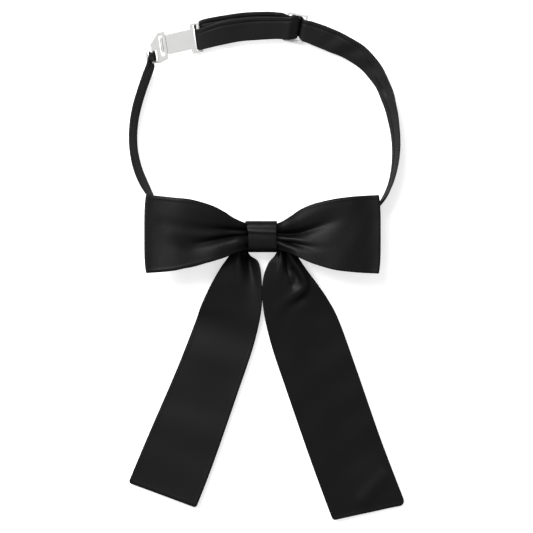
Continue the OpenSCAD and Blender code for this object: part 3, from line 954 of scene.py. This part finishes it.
def make_threads():
    """The two windings, the knot's ladder stitches, the strap's anchor and the bartacks."""
    low, high = box_mm("waist_thread")
    centre, size = (low + high) / 2, high - low
    yarn("waist_winding", wound(6, 0.62, size[1] - 0.4, size[2] - 0.4, centre), 0.2,
         "waist_thread", "bow")
    low, high = box_mm("tail_thread")
    centre, size = (low + high) / 2, high - low
    yarn("tail_winding", wound(5, 0.6, size[1] - 0.35, size[2] - 0.35, centre), 0.18,
         "tail_thread", "bow")

    low, high = box_mm("knot_stitches")
    ladder = [
        stitch((x, KNOT_Y - 1.1, low[2] - 0.05), (x + 0.9, KNOT_Y + 1.1, low[2] - 0.05),
               (0, 0, -0.22))
        for x in np.arange(low[0] + 0.2, high[0] - 0.6, 1.35)
    ]
    yarn("knot_ladder_stitches", ladder, 0.16, "knot_stitches", "bow")

    low, high = box_mm("strap_anchor_stitches")
    anchor = [
        stitch((x, y, high[2] + 0.25), (x + 1.5, y, high[2] + 0.25), (0, 0, 0.18))
        for y in (-4, 4) for x in np.arange(-4.5, 3.5, 2.1)
    ]
    yarn("strap_anchor_thread", anchor, 0.15, "strap_anchor_stitches", "bow")

    clasp = clasp_frame()
    zigzag = [
        stitch(place(clasp, (EYE_BAR_X - 2.5 + 0.3 * (k % 2), EYE_BAR_Y - 2.2 + 0.42 * k, -3.2)),
               place(clasp, (EYE_BAR_X - 1.5, EYE_BAR_Y - 2.0 + 0.42 * k, -3.2)),
               -0.16 * clasp[3])
        for k in range(9)
    ]
    yarn("eye_bartack_stitches", zigzag, 0.14, "eye_bartack", "bow")

    slider = band_frame(SLIDER_TURN)
    zigzag = [
        stitch(place(slider, (-2.9 + 0.3 * (k % 2), -5.4 + 0.6 * k, 3.05)),
               place(slider, (-1.7, -5.1 + 0.6 * k, 3.05)), 0.16 * slider[3])
        for k in range(18)
    ]
    yarn("slider_bartack_stitches", zigzag, 0.14, "slider_bartack", "slider")


# ---- plastic ----
def make_moulded(name, node, body):
    """The CAD piece again with softly rounded edges, as it comes out of a mould."""
    piece = bpy.data.objects.new(name, frame["nodes"][node].data.copy())
    bpy.context.scene.collection.objects.link(piece)
    remesh = piece.modifiers.new("even_mesh", "REMESH")
    remesh.mode = "VOXEL"
    remesh.voxel_size = 0.14 * MM
    soften = piece.modifiers.new("soft_edges", "SMOOTH")
    soften.factor = 0.5
    soften.iterations = 5
    bpy.context.view_layer.update()
    shaped = bpy.data.meshes.new_from_object(piece.evaluated_get(
        bpy.context.evaluated_depsgraph_get()))
    piece.modifiers.clear()
    piece.data = shaped
    shaped.materials.clear()
    shaped.materials.append(PLASTIC)
    shaped.shade_smooth()
    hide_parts(node)
    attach(piece, body)


# ---- the object ----
make_bow()
make_interfacing()
make_knot()
make_tail("tail_left_ribbon", TAIL_LEFT, left_tail_folds, 0, (1.5, 1.5),
          "tail_left", 21)
make_tail("tail_right_ribbon", TAIL_RIGHT, right_tail_folds, RIGHT_LIP, (3.0, 1.5),
          "tail_right", 22)
make_tail_bridge()
make_straps()
make_threads()
make_moulded("eye_plate", "eye", "eye")
make_moulded("hook_plate", "hook", "hook")
make_moulded("slider_frame", "slider", "slider")


# ---- table, light and camera ----
# Just under the lowest edges of the tie, in metres
TABLE_Z = -0.0002


def make_table():
    """A white paper floor that lights the camera more than it lights the cloth."""
    mesh = bpy.data.meshes.new("table")
    reach = 3.0
    mesh.from_pydata([(-reach, -reach, 0), (reach, -reach, 0), (reach, reach, 0),
                      (-reach, reach, 0)], [], [(0, 1, 2, 3)])
    table = bpy.data.objects.new("table", mesh)
    bpy.context.scene.collection.objects.link(table)
    table.location.z = TABLE_Z
    material, tree, shader = new_material("table_paper", (0.92, 0.92, 0.92), 0.9, 0.1)
    seen = node_of(tree, "ShaderNodeLightPath")
    colour = shades(tree, seen.outputs["Is Camera Ray"], (0.45, 0.45, 0.45), (0.92, 0.92, 0.92))
    tree.links.new(colour, shader.inputs["Base Color"])
    shader.inputs["Emission Color"].default_value = (1, 1, 1, 1)
    glow = levels(tree, seen.outputs["Is Camera Ray"], 0.0, 0.55)
    tree.links.new(glow, shader.inputs["Emission Strength"])
    mesh.materials.append(material)


def make_softbox(name, place_at, size, power):
    """A square soft light that faces the middle of the bow tie."""
    light = bpy.data.lights.new(name, "AREA")
    light.shape = "SQUARE"
    light.size = size
    light.energy = power
    lamp = bpy.data.objects.new(name, light)
    bpy.context.scene.collection.objects.link(lamp)
    lamp.location = place_at
    aim = lamp.location.normalized()
    lamp.rotation_euler = aim.to_track_quat("Z", "Y").to_euler()


def make_world():
    """A white sky that is brightest overhead and dim near the table."""
    world = bpy.data.worlds.new("studio")
    world.use_nodes = True
    tree = world.node_tree
    backdrop = tree.nodes["Background"]
    backdrop.inputs["Color"].default_value = (1, 1, 1, 1)
    direction = node_of(tree, "ShaderNodeTexCoord")
    parts = node_of(tree, "ShaderNodeSeparateXYZ")
    tree.links.new(direction.outputs["Generated"], parts.inputs["Vector"])
    spread = node_of(tree, "ShaderNodeMapRange",
                     From_Min=0.35, From_Max=1.0, To_Min=0.12, To_Max=0.8)
    tree.links.new(parts.outputs["Z"], spread.inputs["Value"])
    tree.links.new(spread.outputs["Result"], backdrop.inputs["Strength"])
    bpy.context.scene.world = world


def make_camera():
    """Straight down, with a long lens that takes in the whole tie."""
    lens = bpy.data.cameras.new("camera")
    lens.lens = 135
    lens.sensor_width = 36
    camera = bpy.data.objects.new("camera", lens)
    bpy.context.scene.collection.objects.link(camera)
    # The width of the picture at the tie, in metres
    field = 0.2665
    focus = np.array([0.002, -0.01525, 0.005])
    camera.location = focus + [0, 0, field * lens.lens / lens.sensor_width]
    bpy.context.scene.camera = camera


make_table()
make_softbox("key", (-0.7, 0.9, 1.2), 1.0, 38)
make_world()
make_camera()
bpy.context.scene.view_settings.view_transform = "Standard"
